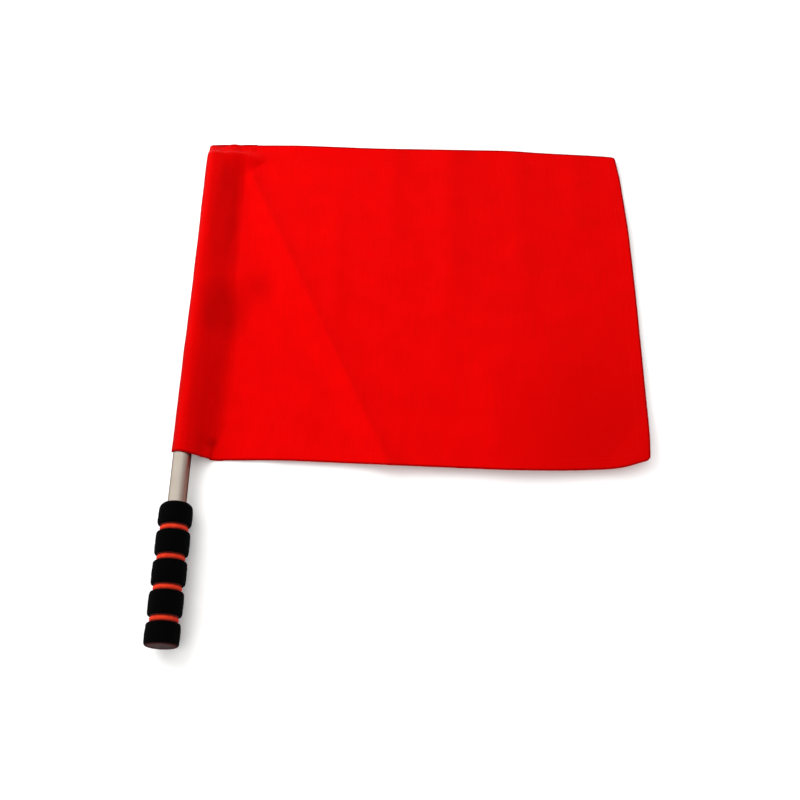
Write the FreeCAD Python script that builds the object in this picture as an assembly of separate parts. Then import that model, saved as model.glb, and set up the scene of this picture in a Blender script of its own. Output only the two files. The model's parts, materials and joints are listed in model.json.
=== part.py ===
import FreeCAD, Part
import math
import os

# A hand signal flag lying on a table: a steel tube with a grooved foam grip at its butt, and a
# hemmed cloth whose sewn sleeve is drawn over the tube. Millimetres, +Z up, +Y along the pole
# from its butt to the top of the flag, +X from the pole to the fly edge. The origin is on the
# table, below the middle of the whole flag. A station is a place along Y, from the butt's face.

Vector = FreeCAD.Vector

# Driving sizes of the pole
tube_diameter = 14.0
tube_wall = 0.5
bare_tube_length = 38.0

# Driving sizes of the grip
grip_diameter = 25.0
collar_count = 5
collar_length = 17.6
butt_collar_length = 16.2
groove_width = 5.0
groove_depth = 2.0
collar_edge_radius = 1.4
shoulder_land = 0.6
end_cap_thickness = 4.0
core_end_chamfer = 0.6

# Driving sizes of the end plugs
plug_head_thickness = 2.0
plug_stem_length = 12.0
plug_stem_wall = 1.2
plug_stem_chamfer = 0.5
plug_dome_height = 3.0

# Driving sizes of the cloth
flag_height = 310.0
flag_reach = 366.5
cloth_thickness = 0.5
sleeve_clearance = 0.3
seam_distance = 26.0
seam_allowance = 8.0
single_layer_lip = 3.0
top_flange_width = 8.0
closure_length = 8.0
pocket_end_radius = 0.08
top_hem_width = 15.0
lower_hem_width = 10.6
fly_hem_width = 10.6
fold_hinge_gap = 0.4
panel_hinge_gap = 0.1

# Driving sizes of the soft fold that runs across the fly, and of its turned-up lower corner
fold_height = 5.0
corner_lift = 5.0
fold_crest_radius = 25.0
fold_foot_radius = 60.0
lift_radius = 12.0

# Driving sizes of the stitching
thread_width = 0.6
thread_height = 0.25
stitch_inset = 2.0

# How far a cutting shape runs past what it cuts
overrun = 4.0

# Sizes worked out from the driving sizes
tube_radius = tube_diameter / 2
tube_bore_radius = tube_radius - tube_wall
plug_stem_bore_radius = tube_bore_radius - plug_stem_wall
grip_radius = grip_diameter / 2
core_radius = grip_radius - groove_depth
shoulder_radius = grip_radius - tube_radius - shoulder_land
upper_collar_count = collar_count - 1
grip_length = butt_collar_length + upper_collar_count * (collar_length + groove_width)
core_end_station = grip_length - end_cap_thickness
mouth_station = grip_length + bare_tube_length
top_station = mouth_station + flag_height
flange_station = top_station - top_flange_width
closure_station = flange_station - closure_length
dome_station = closure_station - sleeve_clearance
tube_end_station = dome_station - plug_dome_height
pocket_radius = tube_radius + sleeve_clearance
sleeve_radius = pocket_radius + cloth_thickness
seam_thickness = cloth_thickness + cloth_thickness
strip_end = seam_distance + seam_allowance
fold_axis_place = strip_end + single_layer_lip + fold_hinge_gap
fold_axis_height = seam_thickness + thread_height
panel_start = fold_axis_place + panel_hinge_gap
panel_reach = flag_reach - panel_start

# The pole leans: it lies on the upper end of its grip and on the far end of the sleeve
near_rest_station = grip_length - shoulder_radius
lean = math.atan2(grip_radius - sleeve_radius, closure_station - near_rest_station)
butt_axis_height = near_rest_station * math.sin(lean) + grip_radius * math.cos(lean)


def axis_height(station):
    """The height of the pole's axis above the table at a station."""
    return butt_axis_height - station * math.tan(lean)


def lay_down(shape):
    """Turns a piece made along the Y axis to the pole's lean and lifts it to its height."""
    shape.rotate(Vector(0, 0, 0), Vector(1, 0, 0), -math.degrees(lean))
    shape.translate(Vector(0, 0, butt_axis_height))
    return shape


# Shapes turned about the pole's axis

def turned(edges):
    """A solid of revolution about the pole's axis, from the edges of its half section."""
    half_section = Part.Face(Part.Wire(edges))
    return half_section.revolve(Vector(0, 0, 0), Vector(0, 1, 0), 360)


def straight_edges(points):
    """The edges that join radius and station points one after the other."""
    corners = [Vector(radius, station, 0) for radius, station in points]
    return [Part.LineSegment(a, b).toShape() for a, b in zip(corners, corners[1:])]


def make_tube():
    """The thin drawn tube, between the heads of its two plugs."""
    corners = [
        (tube_bore_radius, plug_head_thickness),
        (tube_radius, plug_head_thickness),
        (tube_radius, tube_end_station),
        (tube_bore_radius, tube_end_station),
    ]
    return turned(straight_edges(corners + corners[:1]))


def make_butt_plug():
    """A moulded cup: a flat head as wide as the tube and a hollow stem pressed into its bore."""
    stem_end = plug_head_thickness + plug_stem_length
    corners = [
        (0, 0),
        (tube_radius, 0),
        (tube_radius, plug_head_thickness),
        (tube_bore_radius, plug_head_thickness),
        (tube_bore_radius, stem_end - plug_stem_chamfer),
        (tube_bore_radius - plug_stem_chamfer, stem_end),
        (plug_stem_bore_radius, stem_end),
        (plug_stem_bore_radius, plug_head_thickness),
        (0, plug_head_thickness),
    ]
    return turned(straight_edges(corners + corners[:1]))


def make_top_plug():
    """A moulded cup whose domed head keeps the rim of the tube off the cloth."""
    stem_end = tube_end_station - plug_stem_length
    dome_radius = (tube_radius ** 2 + plug_dome_height ** 2) / (2 * plug_dome_height)
    half_turn = math.asin(tube_radius / dome_radius) / 2
    crown = Vector(0, dome_station, 0)
    rim = Vector(tube_radius, tube_end_station, 0)
    middle = Vector(
        dome_radius * math.sin(half_turn),
        dome_station - dome_radius + dome_radius * math.cos(half_turn),
        0,
    )
    below = straight_edges([
        (tube_radius, tube_end_station),
        (tube_bore_radius, tube_end_station),
        (tube_bore_radius, stem_end + plug_stem_chamfer),
        (tube_bore_radius - plug_stem_chamfer, stem_end),
        (plug_stem_bore_radius, stem_end),
        (plug_stem_bore_radius, tube_end_station),
        (0, tube_end_station),
        (0, dome_station),
    ])
    return turned([Part.Arc(crown, middle, rim).toShape()] + below)


def make_core():
    """The foam tube pushed onto the steel one, which shows in the grooves and at the butt."""
    corners = [
        (tube_radius, 0),
        (core_radius - core_end_chamfer, 0),
        (core_radius, core_end_chamfer),
        (core_radius, core_end_station),
        (tube_radius, core_end_station),
    ]
    return turned(straight_edges(corners + corners[:1]))


def round_over(collar, stations):
    """Rounds a collar's outer rims at these stations."""
    middle_radius = (core_radius + grip_radius) / 2
    circles = [edge for edge in collar.Edges if isinstance(edge.Curve, Part.Circle)]
    outer = [edge for edge in circles if edge.Curve.Radius > middle_radius]
    rims = [
        edge for edge in outer
        if min(abs(edge.Curve.Center.y - station) for station in stations) < collar_edge_radius
    ]
    return collar.makeFillet(collar_edge_radius, rims)


def make_collar(start, length):
    """One foam collar: a short sleeve with both of its outer edges rounded over."""
    end = start + length
    corners = [(core_radius, start), (grip_radius, start), (grip_radius, end), (core_radius, end)]
    return round_over(turned(straight_edges(corners + corners[:1])), [start, end])


def make_end_collar(start):
    """The collar that closes over the core's upper end and rounds down to the tube."""
    shoulder_start = grip_length - shoulder_radius
    land_radius = grip_radius - shoulder_radius
    diagonal = shoulder_radius * math.cos(math.pi / 4)
    shoulder = Part.Arc(
        Vector(grip_radius, shoulder_start, 0),
        Vector(land_radius + diagonal, shoulder_start + diagonal, 0),
        Vector(land_radius, grip_length, 0),
    )
    outside = straight_edges([
        (core_radius, start),
        (grip_radius, start),
        (grip_radius, shoulder_start),
    ])
    inside = straight_edges([
        (land_radius, grip_length),
        (tube_radius, grip_length),
        (tube_radius, core_end_station),
        (core_radius, core_end_station),
        (core_radius, start),
    ])
    return round_over(turned(outside + [shoulder.toShape()] + inside), [start])


def make_collars():
    """The collars in order from the butt, one groove apart."""
    collars = [make_collar(0, butt_collar_length)]
    start = butt_collar_length + groove_width
    for _ in range(upper_collar_count - 1):
        collars.append(make_collar(start, collar_length))
        start += collar_length + groove_width
    collars.append(make_end_collar(start))
    return collars


# The sleeve: the hoist end of the cloth, folded back under itself round the tube and sewn down

def at_station(station):
    """Makes the function that puts a plane point, X and height, into the plane of a station."""
    return lambda point: Vector(point[0], station, point[1])


def unit(a, b):
    """The direction from plane point a to plane point b."""
    length = math.hypot(b[0] - a[0], b[1] - a[1])
    return ((b[0] - a[0]) / length, (b[1] - a[1]) / length)


def tangent_points(apex, centre, radius):
    """Where the two lines from an apex touch a circle: the lower point, then the upper one."""
    distance = math.hypot(centre[0] - apex[0], centre[1] - apex[1])
    towards = math.atan2(centre[1] - apex[1], centre[0] - apex[0])
    opening = math.asin(radius / distance)
    length = math.sqrt(distance ** 2 - radius ** 2)
    return [
        (apex[0] + length * math.cos(angle), apex[1] + length * math.sin(angle))
        for angle in (towards + opening, towards - opening)
    ]


def wrap_edges(lower, upper, centre, radius, to_3d):
    """Two arcs that go round the left of a circle from the lower to the upper point."""
    low = math.atan2(lower[1] - centre[1], lower[0] - centre[0]) % (2 * math.pi)
    high = math.atan2(upper[1] - centre[1], upper[0] - centre[0]) % (2 * math.pi)
    points = []
    for quarter in range(5):
        angle = low + (high - low) * quarter / 4
        point = (centre[0] + radius * math.cos(angle), centre[1] + radius * math.sin(angle))
        points.append(to_3d(point))
    return [
        Part.Arc(points[0], points[1], points[2]).toShape(),
        Part.Arc(points[2], points[3], points[4]).toShape(),
    ]


def outward(point, centre, inner, radius):
    """The point of the outer circle that lies in line with a point of the inner one."""
    grow = radius / inner
    return (centre[0] + (point[0] - centre[0]) * grow, centre[1] + (point[1] - centre[1]) * grow)


def mitred(corner, before, after, distance):
    """The corner between two directions of a path, moved to the path's left by a distance."""
    spread = 1 + before[0] * after[0] + before[1] * after[1]
    left = (-(before[1] + after[1]) / spread, (before[0] + after[0]) / spread)
    return (corner[0] + left[0] * distance, corner[1] + left[1] * distance)


def pocket_section(station, centre, radius):
    """The hollow of the sleeve: round the tube on the left, drawn in to the seam on the right."""
    to_3d = at_station(station)
    apex = (seam_distance, cloth_thickness)
    lower, upper = tangent_points(apex, centre, radius)
    edges = [Part.LineSegment(to_3d(apex), to_3d(lower)).toShape()]
    edges += wrap_edges(lower, upper, centre, radius, to_3d)
    edges.append(Part.LineSegment(to_3d(upper), to_3d(apex)).toShape())
    return Part.Wire(edges)


def sleeve_section(station, centre, pocket):
    """The outside of the sleeve, one cloth outside its hollow, and its two-layer seam strip."""
    to_3d = at_station(station)
    apex = (seam_distance, cloth_thickness)
    radius = pocket + cloth_thickness
    lower, upper = tangent_points(apex, centre, pocket)
    lower_out = outward(lower, centre, pocket, radius)
    upper_out = outward(upper, centre, pocket, radius)
    along_table = (1, 0)
    lower_foot = mitred(apex, unit(lower, apex), along_table, -cloth_thickness)
    upper_foot = mitred(apex, unit(upper, apex), along_table, cloth_thickness)
    strip_bottom = (strip_end, 0)
    strip_top = (strip_end, seam_thickness)
    edges = [
        Part.LineSegment(to_3d(strip_bottom), to_3d(lower_foot)).toShape(),
        Part.LineSegment(to_3d(lower_foot), to_3d(lower_out)).toShape(),
    ]
    edges += wrap_edges(lower_out, upper_out, centre, radius, to_3d)
    edges += [
        Part.LineSegment(to_3d(upper_out), to_3d(upper_foot)).toShape(),
        Part.LineSegment(to_3d(upper_foot), to_3d(strip_top)).toShape(),
        Part.LineSegment(to_3d(strip_top), to_3d(strip_bottom)).toShape(),
    ]
    return Part.Wire(edges)


def loft(sections):
    """A ruled solid through sections with as many edges each."""
    return Part.makeLoft(sections, True, True)


flange_radius = pocket_end_radius + cloth_thickness
flange_centre = (flange_radius - sleeve_radius, flange_radius)


def make_sleeve():
    """Round the tube from the mouth to the tube's end, then closed down to a sewn flat flange."""
    before_mouth = mouth_station - overrun
    mouth = (0, axis_height(mouth_station))
    closed = (0, axis_height(closure_station))
    outside = loft([
        sleeve_section(mouth_station, mouth, pocket_radius),
        sleeve_section(closure_station, closed, pocket_radius),
    ])
    closure = loft([
        sleeve_section(closure_station, closed, pocket_radius),
        sleeve_section(flange_station, flange_centre, pocket_end_radius),
    ])
    flange = loft([
        sleeve_section(flange_station, flange_centre, pocket_end_radius),
        sleeve_section(top_station, flange_centre, pocket_end_radius),
    ])
    lip = Part.makeBox(
        single_layer_lip,
        flag_height,
        cloth_thickness,
        Vector(strip_end, mouth_station, seam_thickness - cloth_thickness),
    )
    hollow = loft([
        pocket_section(before_mouth, (0, axis_height(before_mouth)), pocket_radius),
        pocket_section(closure_station, closed, pocket_radius),
    ])
    taper = loft([
        pocket_section(closure_station, closed, pocket_radius),
        pocket_section(flange_station, flange_centre, pocket_end_radius),
    ])
    return outside.fuse([closure, flange, lip]).cut([hollow, taper]).removeSplitter()


def make_seam_thread():
    """The row of stitches that holds the folded-back hoist, beside the pocket."""
    return Part.makeBox(
        thread_width,
        flag_height - 2 * stitch_inset,
        thread_height,
        Vector(seam_distance + stitch_inset, mouth_station + stitch_inset, seam_thickness),
    )


def make_closure_thread():
    """The row of stitches across the top flange, which shuts the pocket over the tube's end."""
    upper = tangent_points((seam_distance, cloth_thickness), flange_centre, pocket_end_radius)[1]
    crown = outward(upper, flange_centre, pocket_end_radius, flange_radius)
    end = seam_distance + stitch_inset - thread_width
    height = seam_thickness
    outline = [
        (crown[0], crown[1]),
        (seam_distance, height),
        (end, height),
        (end, height + thread_height),
        (seam_distance, height + thread_height),
        (crown[0], crown[1] + thread_height),
    ]
    to_3d = at_station(flange_station + stitch_inset)
    corners = [to_3d(point) for point in outline]
    face = Part.Face(Part.makePolygon(corners + corners[:1]))
    return face.extrude(Vector(0, thread_width, 0))


# The fly: one sheet with a soft fold running down across it from the pole's end, and with its
# lower corner turned up a little, hemmed along its top, its fly edge and its bottom

# Each section of the sheet: its place up the flag, the crest of the fold along the reach, the
# height of the fold, its far foot, where the lift of the edge starts, and how high the edge lifts
section_shares = [
    (-0.04, 0.39, 0.65, 0.55, 0.885, 1.0),
    (0.14, 0.31, 0.80, 0.47, 0.965, 0.12),
    (0.62, 0.12, 1.00, 0.24, 0.965, 0.08),
    (1.04, 0.03, 0.15, 0.09, 0.965, 0.06),
]
near_foot_share = 0.35
section_end_share = 1.03

# The outline, as shares of the panel's reach and of the flag's height, one arc a line
outline_shares = [
    [(0.0, 0.0077), (0.40, -0.0042), (0.79, -0.0155)],
    [(0.79, -0.0155), (0.88, -0.0112), (0.955, 0.0035)],
    [(0.955, 0.0035), (0.982, 0.0150), (0.992, 0.042)],
    [(0.992, 0.042), (1.0, 0.47), (0.989, 0.892)],
    [(0.989, 0.892), (0.982, 0.943), (0.965, 0.966)],
    [(0.965, 0.966), (0.50, 0.990), (0.0, 1.0045)],
]


def offset_corners(corners, distance):
    """The corners of an open path moved to its left by a distance."""
    directions = [unit(a, b) for a, b in zip(corners, corners[1:])]
    befores = directions[:1] + directions
    afters = directions + directions[-1:]
    return [mitred(*turn, distance) for turn in zip(corners, befores, afters)]


def rounded_path(corners, radii, distance, to_3d):
    """The edges of an open path with arcs for inner corners, moved to its left by a distance."""
    moved = offset_corners(corners, distance)
    edges = []
    start = moved[0]
    for before_corner, corner, after_corner, base_radius in zip(moved, moved[1:], moved[2:], radii):
        before = unit(before_corner, corner)
        after = unit(corner, after_corner)
        cross = before[0] * after[1] - before[1] * after[0]
        turn = math.atan2(abs(cross), before[0] * after[0] + before[1] * after[1])
        radius = base_radius - math.copysign(1, cross) * distance
        tangent = radius * math.tan(turn / 2)
        depth = radius / math.cos(turn / 2) - radius
        inward = unit(before, after)
        arc_start = (corner[0] - before[0] * tangent, corner[1] - before[1] * tangent)
        arc_middle = (corner[0] + inward[0] * depth, corner[1] + inward[1] * depth)
        arc_end = (corner[0] + after[0] * tangent, corner[1] + after[1] * tangent)
        edges.append(Part.LineSegment(to_3d(start), to_3d(arc_start)).toShape())
        edges.append(Part.Arc(to_3d(arc_start), to_3d(arc_middle), to_3d(arc_end)).toShape())
        start = arc_end
    edges.append(Part.LineSegment(to_3d(start), to_3d(moved[-1])).toShape())
    return edges


def sheet_section(shares, low, high):
    """A section of the sheet, from one height to another above what it lies on."""
    place, crest, height, far_foot, lift_start, lift = shares
    near_foot = near_foot_share * crest
    corners = [
        (panel_start, 0),
        (panel_start + near_foot * panel_reach, 0),
        (panel_start + crest * panel_reach, height * fold_height),
        (panel_start + far_foot * panel_reach, 0),
        (panel_start + lift_start * panel_reach, 0),
        (panel_start + section_end_share * panel_reach, lift * corner_lift),
    ]
    radii = [lift_radius, fold_crest_radius, fold_foot_radius, lift_radius]
    to_3d = at_station(mouth_station + place * flag_height)
    lower = rounded_path(corners, radii, low, to_3d)
    upper = rounded_path(corners, radii, high, to_3d)
    start_low = lower[0].firstVertex().Point
    start_high = upper[0].firstVertex().Point
    end_low = lower[-1].lastVertex().Point
    end_high = upper[-1].lastVertex().Point
    far_side = Part.LineSegment(end_low, end_high).toShape()
    near_side = Part.LineSegment(start_high, start_low).toShape()
    return Part.Wire(lower + [far_side] + upper[::-1] + [near_side])


def sheet_layer(low, high):
    """A layer of the sheet, larger than its outline."""
    return loft([sheet_section(shares, low, high) for shares in section_shares])


def outline_prism(shift):
    """An upright block on the outline, moved by a shift and carried on past the hoist side."""
    depth = fold_height + corner_lift + overrun
    arcs = []
    for arc_shares in outline_shares:
        points = []
        for reach_share, height_share in arc_shares:
            place = panel_start + reach_share * panel_reach
            station = mouth_station + height_share * flag_height
            points.append(Vector(place, station, -overrun) + shift)
        arcs.append(Part.Arc(*points).toShape())
    first = arcs[0].firstVertex().Point
    last = arcs[-1].lastVertex().Point
    past_first = Vector(fold_axis_place - overrun, first.y, first.z)
    past_last = Vector(fold_axis_place - overrun, last.y, last.z)
    edges = arcs + [
        Part.LineSegment(last, past_last).toShape(),
        Part.LineSegment(past_last, past_first).toShape(),
        Part.LineSegment(past_first, first).toShape(),
    ]
    return Part.Face(Part.Wire(edges)).extrude(Vector(0, 0, overrun + depth))


def inner_prism(inset):
    """The block inside the inner edges of the three hems, grown by an inset."""
    top = outline_prism(Vector(0, inset - top_hem_width, 0))
    bottom = outline_prism(Vector(0, lower_hem_width - inset, 0))
    fly = outline_prism(Vector(inset - fly_hem_width, 0, 0))
    return top.common(bottom).common(fly)


def make_panel():
    """The single sheet, with the turned-under second layer of its hems below it."""
    two_layers = sheet_layer(0, seam_thickness).common(outline_prism(Vector(0, 0, 0)))
    hollow = sheet_layer(-overrun, cloth_thickness).common(inner_prism(0))
    return two_layers.cut(hollow)


def make_hem_thread():
    """One row of stitches along the three hems, a little outside the hems' inner edges."""
    row = inner_prism(stitch_inset).cut(inner_prism(stitch_inset - thread_width))
    return sheet_layer(seam_thickness, seam_thickness + thread_height).common(row)


# The whole flag, moved so that the origin is on the table below its middle

nodes = {
    "pole_tube": lay_down(make_tube()),
    "top_plug": lay_down(make_top_plug()),
    "butt_plug": lay_down(make_butt_plug()),
    "grip_core": lay_down(make_core()),
}
for number, collar in enumerate(make_collars(), start=1):
    nodes["grip_collar_" + str(number)] = lay_down(collar)
nodes["flag_sleeve"] = make_sleeve()
nodes["sleeve_seam_thread"] = make_seam_thread()
nodes["top_closure_thread"] = make_closure_thread()
nodes["flag_panel"] = make_panel()
nodes["panel_hem_thread"] = make_hem_thread()

whole_box = Part.makeCompound(list(nodes.values())).optimalBoundingBox()
to_origin = Vector(-whole_box.Center.x, -whole_box.Center.y, -whole_box.ZMin)

os.makedirs("parts", exist_ok=True)
for name, shape in nodes.items():
    shape.translate(to_origin)
    shape.exportStep("parts/" + name + ".step")
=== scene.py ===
import bpy
import json
import math
import numpy as np
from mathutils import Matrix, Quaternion, Vector


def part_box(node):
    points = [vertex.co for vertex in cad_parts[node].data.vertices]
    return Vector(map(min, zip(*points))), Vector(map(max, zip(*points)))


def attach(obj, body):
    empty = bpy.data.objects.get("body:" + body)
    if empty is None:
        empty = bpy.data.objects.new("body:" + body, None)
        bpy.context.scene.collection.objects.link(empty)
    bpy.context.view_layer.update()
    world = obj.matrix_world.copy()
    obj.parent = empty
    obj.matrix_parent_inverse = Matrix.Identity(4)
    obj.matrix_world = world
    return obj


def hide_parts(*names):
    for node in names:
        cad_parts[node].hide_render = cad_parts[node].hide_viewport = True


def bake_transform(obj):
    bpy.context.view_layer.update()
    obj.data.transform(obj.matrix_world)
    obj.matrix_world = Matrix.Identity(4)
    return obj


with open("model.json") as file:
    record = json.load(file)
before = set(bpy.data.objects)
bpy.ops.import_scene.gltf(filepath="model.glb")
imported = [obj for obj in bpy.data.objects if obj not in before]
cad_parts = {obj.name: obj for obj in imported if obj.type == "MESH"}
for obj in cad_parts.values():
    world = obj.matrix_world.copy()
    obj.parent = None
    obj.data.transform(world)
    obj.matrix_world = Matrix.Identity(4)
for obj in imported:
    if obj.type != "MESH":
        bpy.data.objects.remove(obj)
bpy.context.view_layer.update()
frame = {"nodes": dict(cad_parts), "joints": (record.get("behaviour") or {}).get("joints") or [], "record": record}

# The camera looks down on the flag from beyond its butt end, with the pole at the left. Its lens
# and its place are the ones that the photograph's straight edges give: the cloth's, the tube's
# and the grip's.
mm = 0.001
scene = bpy.context.scene
mounts = {mount["name"]: mount for mount in frame["record"]["mounts"]}
butt_face = Vector(mounts["butt_face"]["pos_m"])

camera_data = bpy.data.cameras.new("camera")
camera_data.sensor_width = 36
camera_data.lens = 43.9
camera = bpy.data.objects.new("camera", camera_data)
scene.collection.objects.link(camera)
scene.camera = camera
camera_from_butt = Vector((174.2 * mm, -128.8 * mm, 714.9 * mm))
camera.location = Vector((butt_face.x, butt_face.y, 0)) + camera_from_butt
camera_elevation = math.radians(65.31)
camera_azimuth = math.radians(1.08)
camera_roll = math.radians(-0.7)
look_direction = Vector((
    -math.sin(camera_azimuth) * math.cos(camera_elevation),
    math.cos(camera_azimuth) * math.cos(camera_elevation),
    -math.sin(camera_elevation),
))
camera.rotation_mode = "QUATERNION"
level_turn = look_direction.to_track_quat("-Z", "Y")
camera.rotation_quaternion = level_turn @ Quaternion((0, 0, 1), camera_roll)

# The table is a pale laminate board under one large diffused lamp at the upper left, in a white
# room that is darker towards the right. It is no part of the flag.
table_size = 8.0
table_thickness = 20 * mm
lamp_size = 0.6
lamp_from_middle = Vector((-0.50, 0.25, 0.45))
lamp_power = 3.8
room_brightness = 1.28
room_colour = (1, 0.995, 0.985, 1)
room_lit_share = 0.10
room_dim_share = 0.40


def new_finish(name):
    """An empty procedural finish: its material, its node tree and its shader."""
    finish = bpy.data.materials.new(name)
    finish.use_nodes = True
    return finish, finish.node_tree, finish.node_tree.nodes["Principled BSDF"]


def add_node(tree, kind, feeds, **properties):
    """Adds a node, sets its properties, and feeds its inputs from values or other sockets."""
    node = tree.nodes.new(kind)
    for name, value in properties.items():
        setattr(node, name, value)
    for name, feed in feeds.items():
        if isinstance(feed, bpy.types.NodeSocket):
            tree.links.new(feed, node.inputs[name])
        else:
            node.inputs[name].default_value = feed
    return node


def ranged(tree, value, start, end, low=0.0, high=1.0):
    """A value that goes from low to high as another goes from start to end, and no further."""
    feeds = {"Value": value, "From Min": start, "From Max": end, "To Min": low, "To Max": high}
    return add_node(tree, "ShaderNodeMapRange", feeds).outputs["Result"]


def worked_out(tree, operation, *values):
    """What a sum with these values, in their order, comes to."""
    return add_node(tree, "ShaderNodeMath", dict(enumerate(values)), operation=operation).outputs[0]


def one_axis(tree, places, axis):
    """How far places lie along one axis."""
    return add_node(tree, "ShaderNodeSeparateXYZ", {"Vector": places}).outputs[axis]


def stretched_places(tree, stretch=(1, 1, 1)):
    """The place on the piece in metres, with each axis multiplied by its stretch."""
    place = add_node(tree, "ShaderNodeTexCoord", {}).outputs["Object"]
    mapping = add_node(tree, "ShaderNodeMapping", {"Vector": place, "Scale": stretch})
    return mapping.outputs["Vector"]


def mottle(tree, places, per_metre, detail=3.0):
    """Soft random patches, so many to the metre, around one half."""
    feeds = {"Vector": places, "Scale": per_metre, "Detail": detail}
    return add_node(tree, "ShaderNodeTexNoise", feeds).outputs["Fac"]


def colour_between(tree, share, first, second):
    """A colour that goes from the first to the second with the share."""
    node = tree.nodes.new("ShaderNodeMix")
    node.data_type = "RGBA"
    tree.links.new(share, node.inputs[0])
    for colour, place in ((first, node.inputs[6]), (second, node.inputs[7])):
        if isinstance(colour, bpy.types.NodeSocket):
            tree.links.new(colour, place)
        else:
            place.default_value = (*colour, 1)
    return node.outputs[2]


def raise_surface(tree, shader, height, depth):
    """Gives the shader a relief of that depth from a height between nothing and one."""
    feeds = {"Height": height, "Distance": depth, "Strength": 1.0}
    relief = add_node(tree, "ShaderNodeBump", feeds)
    tree.links.new(relief.outputs["Normal"], shader.inputs["Normal"])


def add_piece(name, points, faces, finish):
    """Makes one smooth mesh piece from its points and faces."""
    mesh = bpy.data.meshes.new(name)
    mesh.from_pydata([tuple(point) for point in points], [], faces)
    mesh.shade_smooth()
    mesh.materials.append(finish)
    piece = bpy.data.objects.new(name, mesh)
    scene.collection.objects.link(piece)
    return piece


def table_finish():
    """Pale laminate, with a mottle too faint to see from a step away."""
    finish, tree, shader = new_finish("pale_laminate")
    patches = mottle(tree, stretched_places(tree), per_metre=30)
    colour = colour_between(tree, patches, (0.90, 0.90, 0.90), (0.88, 0.88, 0.88))
    tree.links.new(colour, shader.inputs["Base Color"])
    shader.inputs["Roughness"].default_value = 0.8
    shader.inputs["Specular IOR Level"].default_value = 0.1
    return finish


half_table = table_size / 2
board_corners = [
    (side * half_table, end * half_table, level)
    for level in (-table_thickness, 0)
    for side, end in ((-1, -1), (1, -1), (1, 1), (-1, 1))
]
board_faces = [(3, 2, 1, 0), (4, 5, 6, 7), (0, 1, 5, 4), (1, 2, 6, 5), (2, 3, 7, 6), (3, 0, 4, 7)]
table = add_piece("table", board_corners, board_faces, table_finish())
table.data.shade_flat()

lamp_data = bpy.data.lights.new("soft_lamp", "AREA")
lamp_data.shape = "SQUARE"
lamp_data.size = lamp_size
lamp_data.energy = lamp_power
lamp = bpy.data.objects.new("soft_lamp", lamp_data)
scene.collection.objects.link(lamp)
lamp.location = lamp_from_middle
lamp.rotation_mode = "QUATERNION"
lamp.rotation_quaternion = (-lamp_from_middle).to_track_quat("-Z", "Y")
lamp.visible_glossy = False

room = bpy.data.worlds.new("white_room")
room.use_nodes = True
scene.world = room
room_tree = room.node_tree
direction = add_node(room_tree, "ShaderNodeTexCoord", {}).outputs["Generated"]
sideways = one_axis(room_tree, direction, "X")
lit = ranged(room_tree, sideways, -1.0, 0.0, 1 + room_lit_share, 1.0)
dim = ranged(room_tree, sideways, 0.0, 1.0, room_brightness, room_brightness * (1 - room_dim_share))
room_light = room_tree.nodes["Background"]
room_light.inputs["Color"].default_value = room_colour
room_tree.links.new(worked_out(room_tree, "MULTIPLY", lit, dim), room_light.inputs["Strength"])
scene.view_settings.view_transform = "Standard"
scene.view_settings.look = "None"

# The pole is one length of thin drawn steel tube. Drawing leaves fine lines along it, and handling
# has dulled it. Painted brown shade and dark reflection cover the side towards the cloth, and a
# painted dark line of shade runs along the far side.
pole_x = butt_face.x
joints = {joint["name"]: joint for joint in frame["joints"]}
pole_direction = -Vector(joints["sleeve_turn"]["axis"])
pole_side = Vector((1, 0, 0))
pole_up = pole_side.cross(pole_direction)
# Painted shade: the brown shade and dark reflection across the side towards the cloth, and the dark line along the
# far edge, as shares of the tube's radius from its axis
painted_reflection_shares = (0.25, 0.95)
edge_shade_shares = (-0.97, -0.82)
drawn_line_depth = 0.006 * mm
mottle_shares = (0.25, 0.75)


def half_width(node):
    """Half the width of a CAD node's box."""
    low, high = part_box(node)
    return (high.x - low.x) / 2


tube_radius = half_width("pole_tube")


def steel_finish():
    """Drawn steel: fine lines along the tube, cloudy dulling, a warm tint, painted shade and dark reflection on
    one side, and a painted dark line of shade along the other edge.
    """
    finish, tree, shader = new_finish("drawn_steel")
    across = one_axis(tree, stretched_places(tree), "X")
    # Painted shade and dark reflection on the side towards the cloth, and a painted dark line of shade along the
    # far edge
    painted_reflection = ranged(tree, across, *[pole_x + share * tube_radius for share in painted_reflection_shares])
    unshaded = ranged(tree, across, *[pole_x + share * tube_radius for share in edge_shade_shares])
    lines = mottle(tree, stretched_places(tree, (1, 0.012, 1)), per_metre=5000, detail=2.0)
    clouds = mottle(tree, stretched_places(tree, (1, 0.5, 1)), per_metre=160)
    tint = colour_between(tree, clouds, (0.49, 0.435, 0.378), (0.43, 0.375, 0.32))
    tint = colour_between(tree, painted_reflection, tint, (0.20, 0.110, 0.090))
    tint = colour_between(tree, unshaded, (0.15, 0.135, 0.125), tint)
    tree.links.new(tint, shader.inputs["Base Color"])
    tree.links.new(ranged(tree, clouds, *mottle_shares, 0.30, 0.42), shader.inputs["Roughness"])
    shader.inputs["Metallic"].default_value = 1.0
    shader.inputs["Specular Tint"].default_value = (0.06, 0.04, 0.035, 1)
    raise_surface(tree, shader, lines, drawn_line_depth)
    return finish


def refinish(node, finish):
    """Gives a CAD node its finish."""
    mesh = frame["nodes"][node].data
    mesh.materials.clear()
    mesh.materials.append(finish)


refinish("pole_tube", steel_finish())

# Two moulded plugs close the tube. Their fine spark-eroded grain is dull, and the butt plug's
# face carries the dust of the floor that it is stood on.


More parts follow.
